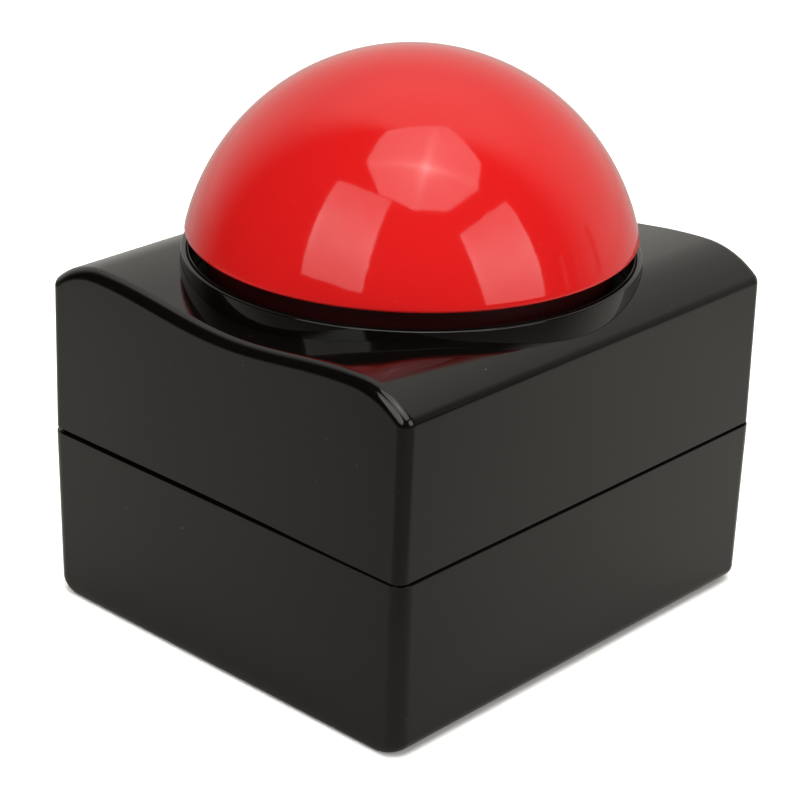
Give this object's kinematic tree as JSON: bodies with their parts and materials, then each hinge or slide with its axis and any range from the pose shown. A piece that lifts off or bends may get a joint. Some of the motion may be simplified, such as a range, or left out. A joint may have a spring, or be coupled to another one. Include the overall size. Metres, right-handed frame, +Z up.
{
  "type": "quiz buzzer",
  "caption": "Game-show answer buzzer: a large sprung dome button in a raised collar on a two-part box with a saddle-shaped top.",
  "frame": {"origin": "bottom centre of the box, on the surface that the rubber feet stand on", "axes": "+Z up along the button's axis; Y runs along the saddle, whose height varies across X"},
  "size_m": [0.1086, 0.1196, 0.1292],
  "materials": {
    "housing_black": "glossy injection-moulded black ABS, mirror-like on the saddle and slightly softer on the side walls",
    "matte_black": "matte moulded black plastic",
    "dome_red": "high-gloss moulded red plastic, solid colour with a slight depth",
    "foot_rubber": "matte black rubber",
    "plated_steel": "zinc-plated steel",
    "board_green": "green solder mask on fibreglass",
    "black_epoxy": "black epoxy and sleeve",
    "cell_wrap": "plain printed film over a steel can",
    "cone_paper": "black pressed paper",
    "led_lens": "clear tinted epoxy lens",
    "lead_red": "red PVC insulation",
    "lead_black": "black PVC insulation"
  },
  "bodies": {
    "housing": {"base_shell": "housing_black", "top_shell": "housing_black", "collar_ring": "housing_black", "mechanism_deck": "matte_black", "microswitch_body": "matte_black", "rubber_foot_1": "foot_rubber", "rubber_foot_2": "foot_rubber", "rubber_foot_3": "foot_rubber", "rubber_foot_4": "foot_rubber", "housing_screw_1": "plated_steel", "housing_screw_2": "plated_steel", "housing_screw_3": "plated_steel", "housing_screw_4": "plated_steel", "mechanism_screw_1": "plated_steel", "mechanism_screw_2": "plated_steel", "mechanism_screw_3": "plated_steel", "mechanism_screw_4": "plated_steel", "board_screw_1": "plated_steel", "board_screw_2": "plated_steel", "speaker_screw_1": "plated_steel", "speaker_screw_2": "plated_steel", "return_spring_1": "plated_steel", "return_spring_2": "plated_steel", "return_spring_3": "plated_steel", "return_spring_4": "plated_steel", "contact_spring_1": "plated_steel", "contact_spring_2": "plated_steel", "contact_spring_3": "plated_steel", "contact_plate_1": "plated_steel", "contact_plate_2": "plated_steel", "contact_plate_3": "plated_steel", "power_switch_body": "plated_steel", "speaker_frame": "plated_steel", "speaker_magnet": "plated_steel", "sound_board": "board_green", "light_board": "board_green", "sound_chip": "black_epoxy", "board_capacitor": "black_epoxy", "cell_1": "cell_wrap", "cell_2": "cell_wrap", "cell_3": "cell_wrap", "speaker_cone": "cone_paper", "led_1": "led_lens", "led_2": "led_lens", "led_3": "led_lens", "led_4": "led_lens", "battery_lead_red": "lead_red", "power_lead": "lead_red", "switch_lead": "lead_red", "battery_lead_black": "lead_black", "speaker_lead": "lead_black", "light_lead": "lead_black"},
    "button": {"dome": "dome_red", "button_carrier": "housing_black"},
    "switch_lever": {"microswitch_lever": "plated_steel"},
    "power_knob": {"power_switch_knob": "matte_black"},
    "battery_door": {"battery_door": "housing_black", "battery_door_screw_1": "plated_steel", "battery_door_screw_2": "plated_steel"}
  },
  "joints": [
    {"name": "button_press", "type": "slide", "parent": "housing", "child": "button", "axis": [0, 0, -1], "range_m": [0, 0.003], "stiffness_N_per_m": 1400, "springref_m": -0.004, "deforming": ["return_spring_1", "return_spring_2", "return_spring_3", "return_spring_4"]},
    {"name": "switch_lever_hinge", "type": "hinge", "parent": "housing", "child": "switch_lever", "pos_m": [-0.0085, 0, 0.0636], "axis": [0, 1, 0], "range_deg": [0, 8.16]},
    {"name": "power_knob_slide", "type": "slide", "parent": "housing", "child": "power_knob", "axis": [0, 1, 0], "range_m": [0, 0.004]},
    {"name": "battery_door_lift", "type": "slide", "parent": "housing", "child": "battery_door", "axis": [0, 0, -1], "range_m": [0, 0.04]}
  ],
  "couplings": [
    {"joint": "switch_lever_hinge", "follows": "button_press", "rad_per_m": 47.5}
  ]
}
